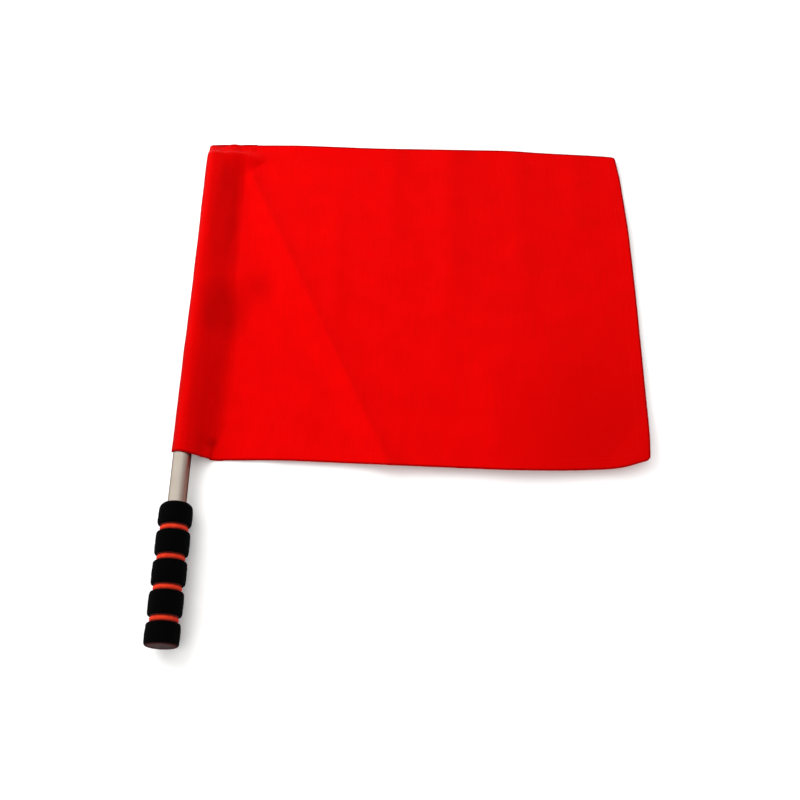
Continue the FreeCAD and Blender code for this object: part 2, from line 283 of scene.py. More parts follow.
def plug_finish():
    """Dark moulded plastic with a fine grain and a little dust."""
    finish, tree, shader = new_finish("plug_plastic")
    places = stretched_places(tree)
    grain = mottle(tree, places, per_metre=3500, detail=2.0)
    dust = mottle(tree, places, per_metre=220)
    colour = colour_between(tree, dust, (0.015, 0.006, 0.006), (0.036, 0.016, 0.016))
    tree.links.new(colour, shader.inputs["Base Color"])
    tree.links.new(ranged(tree, dust, *mottle_shares, 0.6, 0.8), shader.inputs["Roughness"])
    shader.inputs["Specular IOR Level"].default_value = 0.08
    raise_surface(tree, shader, grain, depth=0.03 * mm)
    return finish


plug_plastic = plug_finish()
for plug in ("butt_plug", "top_plug"):
    refinish(plug, plug_plastic)

# The grip's core is a tube of orange-red closed-cell foam, pushed over the steel tube. It shows
# in the four grooves between the collars and as a ring at the butt, which is darkened with
# painted shade.
core_radius = half_width("grip_core")
core_edge = 0.6 * mm
foam_pitch = 0.6 * mm
foam_turns = 144
foam_cell_depth = 0.10 * mm
foam_cells_per_metre = 1500
foam_swell = 0.05 * mm
swell_passes = 3
groove_pinch = 2.0 * mm
pinch_power = 2.5
pinched_share = 1.05
# Painted shade on the butt's face and along the sides of the grooves, in one dark colour
butt_shade_depth = 1.0 * mm
groove_shade_spread = 1.8 * mm
most_groove_shade_share = 0.85
painted_shade_colour = (0.035, 0.010, 0.009)


def span_on_pole(node):
    """Where a CAD node starts and ends along the pole, from the butt's face."""
    corners = frame["nodes"][node].data.vertices
    places = [(corner.co - butt_face).dot(pole_direction) for corner in corners]
    return min(places), max(places)


def evenly(start, end, pitch):
    """Places from start to end, about a pitch apart."""
    steps = max(1, round(abs(end - start) / pitch))
    return [start + (end - start) * step / steps for step in range(steps + 1)]


def turned_piece(name, profile, swell, seed, finish):
    """A ring turned about the pole's axis, its skin swelled a little at random, flat on the table."""
    random = np.random.default_rng(seed)
    swells = random.normal(0, 1, (len(profile), foam_turns))
    for _ in range(swell_passes):
        swells = (np.roll(swells, 1, 0) + 2 * swells + np.roll(swells, -1, 0)) / 4
        swells = (np.roll(swells, 1, 1) + 2 * swells + np.roll(swells, -1, 1)) / 4
    swells *= swell / swells.std()
    points = []
    for row, (distance, radius) in enumerate(profile):
        centre = butt_face + pole_direction * distance
        for turn in range(foam_turns):
            angle = 2 * math.pi * turn / foam_turns
            outward = pole_side * math.cos(angle) + pole_up * math.sin(angle)
            point = centre + outward * (radius + swells[row, turn])
            point.z = max(point.z, 0)
            points.append(point)
    faces = []
    for row in range(len(profile)):
        near = row * foam_turns
        far = (row + 1) % len(profile) * foam_turns
        for turn in range(foam_turns):
            next_turn = (turn + 1) % foam_turns
            faces.append((near + turn, near + next_turn, far + next_turn, far + turn))
    return add_piece(name, points, faces, finish)


collar_names = ["grip_collar_1", "grip_collar_2", "grip_collar_3", "grip_collar_4", "grip_collar_5"]
groove_sides = zip(collar_names, collar_names[1:])
groove_ends = [(span_on_pole(low)[1], span_on_pole(high)[0]) for low, high in groove_sides]
groove_middles = [(groove_start + groove_end) / 2 for groove_start, groove_end in groove_ends]
groove_pitch = groove_middles[1] - groove_middles[0]


def foam_finish(name, light, dark, gloss, groove_shade_start):
    """Cut closed-cell foam of uneven colour, with painted shade on the butt's face and at the sides of the
    grooves.
    """
    finish, tree, shader = new_finish(name)
    places = stretched_places(tree)
    feeds = {"Vector": places, "Scale": foam_cells_per_metre}
    cells = add_node(tree, "ShaderNodeTexVoronoi", feeds).outputs["Distance"]
    unshaded = colour_between(tree, mottle(tree, places, per_metre=260), dark, light)
    along = one_axis(tree, places, "Y")
    # Painted shade at the sides of each groove, next to the collars
    past_groove = worked_out(tree, "SUBTRACT", along, butt_face.y + groove_middles[0])
    off_groove = worked_out(tree, "PINGPONG", past_groove, groove_pitch / 2)
    groove_shade_end = groove_shade_start + groove_shade_spread
    groove_shade_share = ranged(tree, off_groove, groove_shade_start, groove_shade_end, high=most_groove_shade_share)
    groove_shaded = colour_between(tree, groove_shade_share, unshaded, painted_shade_colour)
    # Painted shade on the butt's face
    unshaded_share = ranged(tree, along, butt_face.y, butt_face.y + butt_shade_depth)
    tree.links.new(colour_between(tree, unshaded_share, painted_shade_colour, groove_shaded), shader.inputs["Base Color"])
    shader.inputs["Roughness"].default_value = 0.9
    shader.inputs["Specular IOR Level"].default_value = gloss
    raise_surface(tree, shader, cells, foam_cell_depth)
    return finish


core_start, core_end = span_on_pole("grip_core")
core_profile = [(core_start, tube_radius + foam_swell), (core_start, core_radius - core_edge)]
core_places = evenly(core_start + core_edge, groove_ends[0][0] - core_edge, foam_pitch)
for groove_start, groove_end in groove_ends:
    core_places += evenly(groove_start - core_edge, groove_end + core_edge, foam_pitch / 2)
core_places.append(core_end)
for place in core_places:
    pinch = 0.0
    for groove_start, groove_end in groove_ends:
        off_middle = abs(2 * place - groove_start - groove_end) / (groove_end - groove_start)
        if off_middle < pinched_share:
            pinch = groove_pinch * min(off_middle, 1) ** pinch_power
    core_profile.append((place, core_radius - pinch))
core_profile += [(core_end, tube_radius + foam_swell)]
orange = {"light": (0.66, 0.046, 0.012), "dark": (0.40, 0.007, 0.005)}
orange_foam = foam_finish("orange_foam", **orange, gloss=0.12, groove_shade_start=0.9 * mm)
foam_core = turned_piece("foam_core", core_profile, foam_swell / 2, seed=3, finish=orange_foam)
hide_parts("grip_core")
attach(foam_core, "pole")

# Five collars of black foam are glued round the core, a groove apart. Each is cut from tube and
# ground to a soft barrel, and the uppermost closes over the core's end down to the steel.
grip_radius = half_width(collar_names[0])
edge_round = (2.0 * mm, 1.7 * mm)
shoulder_round = (5.2 * mm, 4.9 * mm)
barrel_swell = 0.2 * mm
edge_steps = 7


def collar_outline(start, end, start_round, end_round):
    """The outside of a collar from its start face to its end face, as distances and radii."""
    start_along, start_inward = start_round
    end_along, end_inward = end_round
    side_start = start + start_along
    side_end = end - end_along
    start_arc, side, end_arc = [], [], []
    for step in range(edge_steps + 1):
        angle = math.pi / 2 * step / edge_steps
        small = 1 - math.cos(angle)
        large = 1 - math.sin(angle)
        start_arc.append((start + start_along * small, grip_radius - start_inward * large))
        end_arc.append((end - end_along * large, grip_radius - end_inward * small))
    for place in evenly(side_start, side_end, foam_pitch)[1:-1]:
        share = (place - side_start) / (side_end - side_start)
        side.append((place, grip_radius + barrel_swell * math.sin(math.pi * share)))
    return start_arc + side + end_arc


black = {"light": (0.0009, 0.0009, 0.0010), "dark": (0.0005, 0.0005, 0.0006)}
black_foam = foam_finish("black_foam", **black, gloss=0.02, groove_shade_start=groove_pitch)
for number, node in enumerate(collar_names, start=1):
    collar_start, collar_end = span_on_pole(node)
    bore = [(collar_end, core_radius), (collar_start, core_radius)]
    far_round = edge_round
    if node == collar_names[-1]:
        bore = [
            (collar_end, tube_radius + foam_swell),
            (core_end, tube_radius + foam_swell),
            (core_end, core_radius),
            (collar_start, core_radius),
        ]
        far_round = shoulder_round
    collar_profile = collar_outline(collar_start, collar_end, edge_round, far_round) + bore
    collar = turned_piece("foam_collar_" + str(number), collar_profile, foam_swell, number, black_foam)
    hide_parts(node)
    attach(collar, "pole")

# The cloth is one piece of red plain-weave polyester. Its hoist is folded back under itself
# round the tube and sewn down, and its other three edges are turned under and hemmed. It lies
# almost flat, with one pressed fold across it from the pole's end and its lower corner turned up.
sleeve_low, sleeve_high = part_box("flag_sleeve")
mouth_y = sleeve_low.y
flag_height = sleeve_high.y - sleeve_low.y
joint_place = Vector(joints["sleeve_turn"]["pos_m"])
pole_slope = pole_direction.z / pole_direction.y
cloth_thickness = 0.33 * mm
hem_thickness = 0.72 * mm
table_gap = 0.2 * mm
seam_allowance = 8 * mm
lower_hem_width = 10.6 * mm
fly_hem_width = 10.6 * mm
top_hem_width = 15 * mm
hem_step = 0.8 * mm
cloth_pitch = 1.5 * mm
sleeve_pitch = 1.1 * mm
line_points = 201
line_passes = 30


def smooth_step(places, start, end):
    """Nothing before the start, one after the end, and a smooth rise between them."""
    share = np.clip((places - start) / (end - start), 0, 1)
    return share * share * (3 - 2 * share)


def hill(distance, width):
    """A smooth hill of that half width, one high in its middle."""
    return np.exp(-(distance / width) ** 2)


def soft_line(shares, stops):
    """A smooth line through its stops, each a share of the way and then values in millimetres."""
    fine = np.linspace(0, 1, line_points)
    stop_shares = [stop[0] for stop in stops]
    lines = []
    for value in range(1, len(stops[0])):
        line = np.interp(fine, stop_shares, [stop[value] * mm for stop in stops])
        for _ in range(line_passes):
            line[1:-1] = (line[:-2] + 2 * line[1:-1] + line[2:]) / 4
        lines.append(np.interp(shares, fine, line))
    return np.array(lines)


# Rows of the cloth from its lower edge to its top edge, with a narrow step at each hem's end
top_hem_start = flag_height - top_hem_width
row_places = np.array(
    evenly(0, lower_hem_width, cloth_pitch)
    + evenly(lower_hem_width + hem_step, top_hem_start - hem_step, cloth_pitch)
    + evenly(top_hem_start, flag_height, cloth_pitch)
)
height_shares = row_places / flag_height
row_count = len(row_places)
up = height_shares[:, None]

# The seam's place beside the pole at each row, how softly the cloth lands there, and how slack
# the pocket is round the tube, as shares of the flag's height and millimetres
seam_stops = [
    (0.00, 21.6, 6.0),
    (0.04, 23.6, 6.5),
    (0.075, 28.4, 9.0),
    (0.12, 29.6, 11.0),
    (0.20, 31.2, 12.0),
    (0.37, 31.6, 9.0),
    (0.47, 29.0, 8.0),
    (0.56, 27.6, 7.5),
    (0.75, 27.4, 6.5),
    (1.00, 27.0, 7.0),
]
slack_stops = [
    (0.00, 0.85),
    (0.25, 0.80),
    (0.37, 0.45),
    (0.50, 0.15),
    (1.00, 0.10),
]
seam_places, landing_lengths = soft_line(height_shares, seam_stops)
slacks = soft_line(height_shares, slack_stops)[0]
seam_height = 1.2 * mm

# Past the tube's end the pocket closes, and that end holds the cloth beside it off the table as
# a small tent, which slopes down past the seam and wider towards the top. Half-way down the
# sleeve the slack cloth swells up beside the seam and falls slowly towards the long fold
pole_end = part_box("top_plug")[1].y - mouth_y
closure_start = pole_end - 4 * mm
closure_end = 312 * mm
tent_foot = 276 * mm
tent_top = 292 * mm
tent_end = 306 * mm
tent_spread = 17 * mm
tent_slope_share = 0.43
tent_softness = 1.5 * mm
tent_start = 12 * mm
tent_fall_share = 0.9
swell_middle = 168 * mm
swell_half_length = 38 * mm
swell_reach = 29 * mm
swell_slope_share = 0.11
closing = smooth_step(row_places, closure_start, closure_end)
tent_reach = tent_spread * np.clip((row_places - tent_foot) / (tent_top - tent_foot), 0, 1)
tent_share = smooth_step(row_places, tent_foot - tent_start, tent_foot)
tent_share *= 1 - tent_fall_share * smooth_step(row_places, tent_top, tent_end)
swell_share = hill(row_places - swell_middle, swell_half_length)


def above_nothing(values, softness):
    """The values as they are above nothing and nothing below it, rounded off between the two."""
    return (values + np.hypot(values, softness)) / 2


def held_up(distances):
    """How far each row of the cloth is held off the table, at its distances past the seam."""
    tent = above_nothing(tent_reach[:, None] - distances, tent_softness)
    swell = above_nothing(swell_reach - distances, tent_softness)
    return tent_slope_share * tent_share[:, None] * tent + swell_slope_share * swell_share[:, None] * swell


seam_rise = held_up(np.zeros((row_count, 1)))[:, 0]

# The sleeve's section at each row: the allowance, the lower cloth, the round of the tube and the
# upper cloth, which arches off the tube and lands at the seam. Past the tube's end it closes to a
# flat fold
in_lower_hem = 1 - smooth_step(row_places, lower_hem_width, lower_hem_width + hem_step)
in_top_hem = smooth_step(row_places, top_hem_start - hem_step, top_hem_start)
row_hem = np.maximum(in_lower_hem, in_top_hem)
row_thickness = cloth_thickness + (hem_thickness - cloth_thickness) * row_hem
axis_heights = joint_place.z + pole_slope * (mouth_y + row_places - joint_place.y)
allowance_columns = round(seam_allowance / sleeve_pitch)
flank_columns = 28
round_columns = 44
leave_angle = math.radians(80)
arch_reach = 9 * mm
landing_slope_share = 0.16
tent_landing_share = 0.26
closed_radius = 0.5 * mm
closed_arch = 0.6 * mm
closed_arch_width = 12 * mm
allowance_shares = np.linspace(1, 0, allowance_columns + 1)
allowance_rise = held_up(seam_allowance * allowance_shares[None, :])
landing_slopes = landing_slope_share + tent_landing_share * np.clip(seam_rise / seam_rise.max(), 0, 1)
landing_slopes *= 1 - closing


def curve_between(start, start_pull, end_pull, end, steps):
    """Points on a soft curve from start to end that leaves and lands along its two pulls."""
    share = np.linspace(0, 1, steps + 1)[1:, None]
    rest = 1 - share
    return (
        rest ** 3 * np.array(start)
        + 3 * rest ** 2 * share * np.array(start_pull)
        + 3 * rest * share ** 2 * np.array(end_pull)
        + share ** 3 * np.array(end)
    )


def sleeve_section(row, radius, height, parting_angle, reach):
    """The outside of the sleeve at a row, as places across the flag and heights.

    The cloth lies round a circle of that radius and height, parts from it at the angle and aims
    as far along as the reach before it bends down to the seam.
    """
    seam = seam_places[row]
    under = table_gap + seam_rise[row]
    over = under + 2 * row_thickness[row]
    middle = radius - (tube_radius + slacks[row] + cloth_thickness)
    towards = math.atan2(under - height, seam - middle)
    low = towards - math.acos(radius / math.hypot(middle - seam, height - under))
    high = parting_angle - 2 * math.pi
    angles = np.linspace(low, high, round_columns + 1)
    ring = np.stack([middle + radius * np.cos(angles), height + radius * np.sin(angles)], 1)
    allowance = np.stack([seam + seam_allowance * allowance_shares, table_gap + allowance_rise[row]], 1)
    lower = np.linspace((seam, under), ring[0], flank_columns + 1)[1:]
    leave = ring[-1] + reach * np.array([math.sin(high), -math.cos(high)])
    land = (seam - landing_lengths[row], over + landing_lengths[row] * landing_slopes[row])
    upper = curve_between(ring[-1], leave, land, (seam, over), flank_columns)
    return np.concatenate([allowance, lower, ring[1:], upper])


sections = []
for row in range(row_count):
    open_radius = tube_radius + slacks[row] + cloth_thickness
    shut_radius = closed_radius + row_thickness[row]
    shut_reach = seam_places[row] / 3
    open_section = sleeve_section(row, open_radius, axis_heights[row], leave_angle, arch_reach)
    shut_section = sleeve_section(row, shut_radius, table_gap + shut_radius, math.pi / 2, shut_reach)
    sections.append(open_section + (shut_section - open_section) * closing[row])
sleeve_x = np.array(sections)[:, :, 0]
sleeve_z = np.array(sections)[:, :, 1]
sleeve_columns = sleeve_x.shape[1]
under_seam_column = allowance_columns
flank_column = under_seam_column + flank_columns + round_columns
seam_column = sleeve_columns - 1
section_columns = np.arange(sleeve_columns)
arches = closed_arch * hill(sleeve_x - tube_radius, closed_arch_width) * closing[:, None]
arches *= smooth_step(section_columns, flank_column - round_columns / 2, flank_column)
arches *= 1 - smooth_step(section_columns, seam_column - flank_columns / 2, seam_column)
sleeve_z += arches

# The edges of the cloth, as shares of the way from the seam to the fly or from the lower edge to
# the top, and as places from the pole's axis and the mouth in millimetres. They are given as the
# photograph shows them, as if they lay on the table itself
lower_edge = [
    (0.00, 22.4, 2.4),
    (0.08, 50.7, 2.9),
    (0.17, 79.0, 2.9),
    (0.42, 164.0, -0.6),
    (0.67, 248.0, -4.0),
    (0.80, 292.0, -4.5),
    (0.88, 322.0, -3.6),
    (0.94, 341.6, -2.2),
    (1.00, 364.5, 5.0),
]
top_edge = [
    (0.00, 27.0, 311.6),
    (0.14, 74.3, 311.5),
    (0.35, 143.0, 308.4),
    (0.72, 266.4, 306.1),
    (0.80, 293.6, 303.6),
    (0.96, 347.9, 300.3),
    (1.00, 360.9, 298.8),
]
fly_edge = [
    (0.00, 364.5, 5.0),
    (0.06, 366.0, 23.0),
    (0.50, 366.9, 158.8),
    (0.72, 366.3, 220.0),
    (0.90, 363.8, 273.4),
    (1.00, 360.9, 298.8),
]
camera_x = camera.location.x - pole_x
camera_y = camera.location.y - mouth_y
camera_height = camera.location.z


def nearer_if_higher(places, camera_place, heights):
    """Moves places seen on the table towards the camera's foot, by as much as they are higher."""
    return places - (places - camera_place) * heights / camera_height


def rounded_corner(x, y, to_side, to_end, radius, side_way, end_way):
    """Rounds a corner of the cloth: a square of the grid there becomes a quarter of a disc."""
    near_side = np.clip(1 - to_side / radius, 0, 1)
    near_end = np.clip(1 - to_end / radius, 0, 1)
    x = x - side_way * radius * near_side * (1 - np.sqrt(1 - near_end ** 2 / 2))
    y = y - end_way * radius * near_end * (1 - np.sqrt(1 - near_side ** 2 / 2))
    return x, y


fly_length = fly_edge[0][1] * mm - seam_places[0]
fly_hem_start = fly_length - fly_hem_width
reach_places = np.array(
    evenly(0, fly_hem_start - hem_step, cloth_pitch) + evenly(fly_hem_start, fly_length, cloth_pitch)
)
reach_shares = reach_places[1:] / fly_length
lower_x, lower_y = soft_line(reach_shares, lower_edge)
top_x, top_y = soft_line(reach_shares, top_edge)
fly_x, fly_y = soft_line(height_shares, fly_edge)
out = reach_shares[None, :]
straight_x = lower_x * (1 - up) + top_x * up
straight_y = lower_y * (1 - up) + top_y * up
seam_shift = seam_places[:, None] - (lower_edge[0][1] * mm * (1 - up) + top_edge[0][1] * mm * up)
panel_x = straight_x + out * (fly_x - straight_x[:, -1])[:, None] + seam_shift * (1 - out) ** 4
panel_y = straight_y + out * (fly_y - straight_y[:, -1])[:, None]

# The heights of the fly: the long pressed fold, the faint folds of the packing, the broad rise
# and the turned-up corner at the lower right, and the lift of the edges
fold_top = (31 * mm, 281 * mm)
fold_bottom = (155 * mm, 10 * mm)
fold_height = 6.0 * mm
fold_height_at_top = 2.9 * mm
fold_drop = 3.5 * mm
fold_drop_width = 8.5 * mm
fold_spread = 150 * mm
fold_start_share = 0.03
fold_full_share = 0.45
fold_steep_share = 0.75
fold_rise_slope_share = 0.22
fold_rise_more_share = 0.10
fold_foot_softness = 0.7 * mm
rise_middle = (262 * mm, 85 * mm)
rise_reach = (66 * mm, 95 * mm)
rise_height = 6.5 * mm
crease_start = (357 * mm, 38 * mm)
crease_end = (334 * mm, 6 * mm)
corner_slope_share = 0.17
pressed_folds = [
    (112 * mm, 110 * mm, 240 * mm, 0.8 * mm, 8 * mm),
    (161 * mm, 180 * mm, 311 * mm, 0.8 * mm, 10 * mm),
    (211 * mm, 130 * mm, 311 * mm, 1.8 * mm, 13 * mm),
    (245 * mm, -10 * mm, 80 * mm, 1.3 * mm, 11 * mm),
    (271 * mm, 150 * mm, 311 * mm, 1.3 * mm, 11 * mm),
    (322 * mm, 190 * mm, 311 * mm, 1.2 * mm, 13 * mm),
]
pressed_fold_end = 40 * mm
lower_lift = 4.6 * mm
lower_lift_depth = 60 * mm
lower_wave_share = 0.15
lower_wave_length = 130 * mm
fly_lift = 2.4 * mm
fly_lift_depth = 30 * mm
top_lift = 0.7 * mm
top_lift_depth = 12 * mm
lift_start = 70 * mm
ripple_height = 0.14 * mm
small_ripple_height = 0.03 * mm
fold_landing = 7 * mm
shown_landing = 25 * mm
top_corner_radius = 3 * mm
lower_corner_radius = 2.5 * mm


def across_line(x, y, start, end):
    """How far a place lies to the left of the line from start to end, seen along it from above."""
    length = math.hypot(end[0] - start[0], end[1] - start[1])
    along_x = (end[0] - start[0]) / length
    along_y = (end[1] - start[1]) / length
    return along_x * (y - start[1]) - along_y * (x - start[0])


def along_line(x, y, start, end):
    """How far a place lies along the line from start to end, as a share of its length."""
    step_x = end[0] - start[0]
    step_y = end[1] - start[1]
    return ((x - start[0]) * step_x + (y - start[1]) * step_y) / (step_x ** 2 + step_y ** 2)


def soften(field, passes, axes=(0, 1)):
    """Smooths a field of the grid, and leaves its border as it is."""
    field = field.copy()
    for _ in range(passes):
        if 0 in axes:
            field[1:-1] = (field[:-2] + 2 * field[1:-1] + field[2:]) / 4
        if 1 in axes:
            field[:, 1:-1] = (field[:, :-2] + 2 * field[:, 1:-1] + field[:, 2:]) / 4
    return field


def random_ripples(shape, passes, seed):
    """Random ripples over the grid, about one high, wider with more passes of smoothing."""
    ripples = soften(np.random.default_rng(seed).normal(0, 1, shape), passes)
    return ripples / ripples.std()


fold_side = across_line(panel_x, panel_y, fold_top, fold_bottom)
fold_way = along_line(panel_x, panel_y, fold_top, fold_bottom)
crest = fold_height_at_top + (fold_height - fold_height_at_top) * smooth_step(fold_way, 0, fold_full_share)
rise_slopes = smooth_step(fold_way, fold_full_share, fold_steep_share)
rise_slopes = fold_rise_slope_share + fold_rise_more_share * rise_slopes
rising_side = above_nothing(crest - rise_slopes * np.clip(-fold_side, 0, None), fold_foot_softness)
past_crest = np.clip(fold_side, 0, None)
falling_side = (crest - fold_drop) * hill(past_crest, fold_spread)
falling_side += fold_drop * np.exp(-past_crest / fold_drop_width)
folds = np.where(fold_side < 0, rising_side, falling_side)
folds *= smooth_step(fold_way, -fold_start_share, fold_start_share)
rise_x = (panel_x - rise_middle[0]) / rise_reach[0]
rise_y = (panel_y - rise_middle[1]) / rise_reach[1]
folds += rise_height * np.exp(-rise_x ** 2 - rise_y ** 2)
beyond_crease = across_line(panel_x, panel_y, crease_start, crease_end)
folds += corner_slope_share * np.clip(beyond_crease, 0, None)
for fold_x, fold_low, fold_high, height, width in pressed_folds:
    ends = smooth_step(panel_y, fold_low, fold_low + pressed_fold_end)
    ends *= 1 - smooth_step(panel_y, fold_high, fold_high + pressed_fold_end)
    folds += height * ends * hill(panel_x - fold_x, width)
folds += ripple_height * random_ripples(folds.shape, passes=60, seed=11)
folds += small_ripple_height * random_ripples(folds.shape, passes=6, seed=12)
from_seam = panel_x - seam_places[:, None]
folds *= smooth_step(from_seam, -cloth_pitch, fold_landing)
to_lower_edge = panel_y - lower_y[None, :]
to_top_edge = top_y[None, :] - panel_y
to_fly_edge = fly_x[:, None] - panel_x
waves = 1 + lower_wave_share * np.sin(2 * math.pi * panel_x / lower_wave_length)
lifts = lower_lift * waves * np.exp(-np.clip(to_lower_edge, 0, None) / lower_lift_depth)
lifts += fly_lift * np.exp(-np.clip(to_fly_edge, 0, None) / fly_lift_depth)
lifts += top_lift * np.exp(-np.clip(to_top_edge, 0, None) / top_lift_depth)
folds += lifts * smooth_step(from_seam, 0, lift_start)
folds = np.clip(soften(folds, passes=2), 0, None)
folds += held_up(from_seam)
panel_z = table_gap + hem_thickness + folds
past_seam = smooth_step(from_seam, 0, shown_landing)
shown_heights = seam_height + (panel_z - seam_height) * past_seam
panel_x = nearer_if_higher(panel_x, camera_x, shown_heights * past_seam)
panel_y = nearer_if_higher(panel_y, camera_y, shown_heights)
panel_x, panel_y = rounded_corner(panel_x, panel_y, to_fly_edge, to_top_edge, top_corner_radius, 1, 1)
panel_x, panel_y = rounded_corner(panel_x, panel_y, to_fly_edge, to_lower_edge, lower_corner_radius, 1, -1)

# The sleeve's mouth isn't cut square: it is highest under the tube and lowest at the seam. Its
# closed end at the top has a small round corner, and two hollows lie in the slack beside the tube
mouth_stops = [
    (0.00, 2.4),
    (0.04, 8.5),
    (0.36, 8.5),
    (0.47, 5.0),
    (0.55, 4.0),
    (0.70, 3.0),
    (0.80, 2.0),
    (0.90, 2.6),
    (1.00, 2.4),
]
mouth_depth = 45 * mm
hollows = [
    (17.5 * mm, 13.0 * mm, 5 * mm, 6 * mm, 1.7 * mm),
    (15.5 * mm, 124.0 * mm, 6 * mm, 22 * mm, 1.5 * mm),
]
closed_corner_radius = 3 * mm
section_shares = (section_columns - under_seam_column) / (seam_column - under_seam_column)
section_shares = np.clip(section_shares, 0, 1)
set_back = (soft_line(section_shares, mouth_stops)[0] - mouth_stops[-1][1] * mm)[None, :]
seam_y = lower_edge[0][2] * mm * (1 - up) + top_edge[0][2] * mm * up
seam_y = nearer_if_higher(seam_y, camera_y, seam_height + (sleeve_z - seam_height) * closing[:, None])
sleeve_y = seam_y + set_back * (1 - smooth_step(row_places, 0, mouth_depth))[:, None]
to_side = sleeve_x - sleeve_x.min(axis=1)[:, None]
to_end = sleeve_y[-1:] - sleeve_y
sleeve_x, sleeve_y = rounded_corner(sleeve_x, sleeve_y, to_side, to_end, closed_corner_radius, -1, 1)
for hollow_x, hollow_y, width, length, depth in hollows:
    hollow = depth * hill(sleeve_x - hollow_x, width) * hill(sleeve_y - hollow_y, length)
    sleeve_z[:, flank_column:] -= hollow[:, flank_column:]

# The whole face of the cloth, from the allowance's raw edge to the fly, then its underside
face = np.stack([
    np.concatenate([sleeve_x, panel_x], 1),
    np.concatenate([sleeve_y, panel_y], 1),
    np.concatenate([sleeve_z, panel_z], 1),
], 2)
column_count = face.shape[1]
column_hem = np.zeros(column_count)
column_hem[sleeve_columns:] = smooth_step(reach_places[1:], fly_hem_start - hem_step, fly_hem_start)
hem_share = np.maximum(row_hem[:, None], column_hem[None, :])
thickness = cloth_thickness + (hem_thickness - cloth_thickness) * hem_share
seam_round_columns = 3
wrinkle_start_columns = 10
wrinkle_end_columns = 8
sleeve_ripple_height = 0.12 * mm
flank_wrinkle_height = 0.3 * mm
least_thickness = 0.2 * mm
facing_up_share = 0.5
for corner in (under_seam_column, seam_column):
    window = slice(corner - seam_round_columns, corner + seam_round_columns + 1)
    face[:, window] = soften(face[:, window], passes=3, axes=(1,))
sleeve_part = slice(under_seam_column + seam_round_columns + 1, seam_column - seam_round_columns + 1)
sleeve_ripples = random_ripples((row_count, column_count), passes=40, seed=13)[:, sleeve_part]
flank_wrinkles = random_ripples((row_count, column_count), passes=20, seed=17)
flank_wrinkles = soften(flank_wrinkles, passes=160, axes=(0,))
flank_wrinkles *= flank_wrinkle_height / flank_wrinkles.std()
all_columns = np.arange(column_count)
flank_wrinkles *= smooth_step(all_columns, flank_column, flank_column + wrinkle_start_columns)
flank_wrinkles *= 1 - smooth_step(all_columns, seam_column - wrinkle_end_columns, seam_column)


def outward_directions(grid):
    """The direction square to a grid's surface at each of its points."""
    across = np.gradient(grid, axis=1)
    along = np.gradient(grid, axis=0)
    square = np.cross(across, along)
    return square / np.linalg.norm(square, axis=2)[:, :, None]


swelling = sleeve_ripple_height * (1 + np.clip(sleeve_ripples, -1, 2)) + flank_wrinkles[:, sleeve_part]
face[:, sleeve_part] += outward_directions(face)[:, sleeve_part] * swelling[:, :, None]
face_out = outward_directions(face)
back = face - face_out * thickness[:, :, None]
for side in (face, back):
    side[:, :, 2] = np.maximum(side[:, :, 2], table_gap)
lowered_back = np.minimum(back[:, :, 2], face[:, :, 2] - least_thickness)
back[:, :, 2] = np.where(face_out[:, :, 2] > facing_up_share, lowered_back, back[:, :, 2])
cloth_corner = np.array([pole_x, mouth_y, 0])


def border_of(rows, columns):
    """The grid's border as a closed loop of rows and columns."""
    loop = [(0, column) for column in range(columns - 1)]
    loop += [(row, columns - 1) for row in range(rows - 1)]
    loop += [(rows - 1, column) for column in range(columns - 1, 0, -1)]
    loop += [(row, 0) for row in range(rows - 1, 0, -1)]
    return loop


def cloth_solid(name, face, back, finish):
    """A closed cloth from its face and its underside, with a rounded edge all round."""
    rows, columns = face.shape[:2]
    face_index = np.arange(rows * columns).reshape(rows, columns)
    back_index = face_index + rows * columns
    squares = (face_index[:-1, :-1], face_index[:-1, 1:], face_index[1:, 1:], face_index[1:, :-1])
    squares = np.stack(squares, 2).reshape(-1, 4)
    faces = squares.tolist() + (squares[:, [0, 3, 2, 1]] + rows * columns).tolist()
    loop = border_of(rows, columns)
    upper = np.array([face[place] for place in loop])
    lower = np.array([back[place] for place in loop])
    middle = (upper + lower) / 2
    half = (upper - lower) / 2
    along = np.roll(middle, -1, 0) - np.roll(middle, 1, 0)
    outward = np.cross(along, half)
    outward *= (np.linalg.norm(half, axis=1) / np.linalg.norm(outward, axis=1))[:, None]
    rings = [[int(face_index[place]) for place in loop]]
    points = [face.reshape(-1, 3), back.reshape(-1, 3)]
    first = 2 * rows * columns
    for angle in (math.pi / 4, math.pi / 2, 3 * math.pi / 4):
        points.append(middle + half * math.cos(angle) + outward * math.sin(angle))
        rings.append(list(range(first, first + len(loop))))
        first += len(loop)
    rings.append([int(back_index[place]) for place in loop])
    for ring, next_ring in zip(rings, rings[1:]):
        for place in range(len(loop)):
            after = (place + 1) % len(loop)
            faces.append((ring[place], next_ring[place], next_ring[after], ring[after]))
    return add_piece(name, np.concatenate(points), faces, finish), loop


def how_far(tree, places, spot):
    """How far places lie from a spot."""
    feeds = {0: places, 1: spot}
    return add_node(tree, "ShaderNodeVectorMath", feeds, operation="DISTANCE").outputs["Value"]


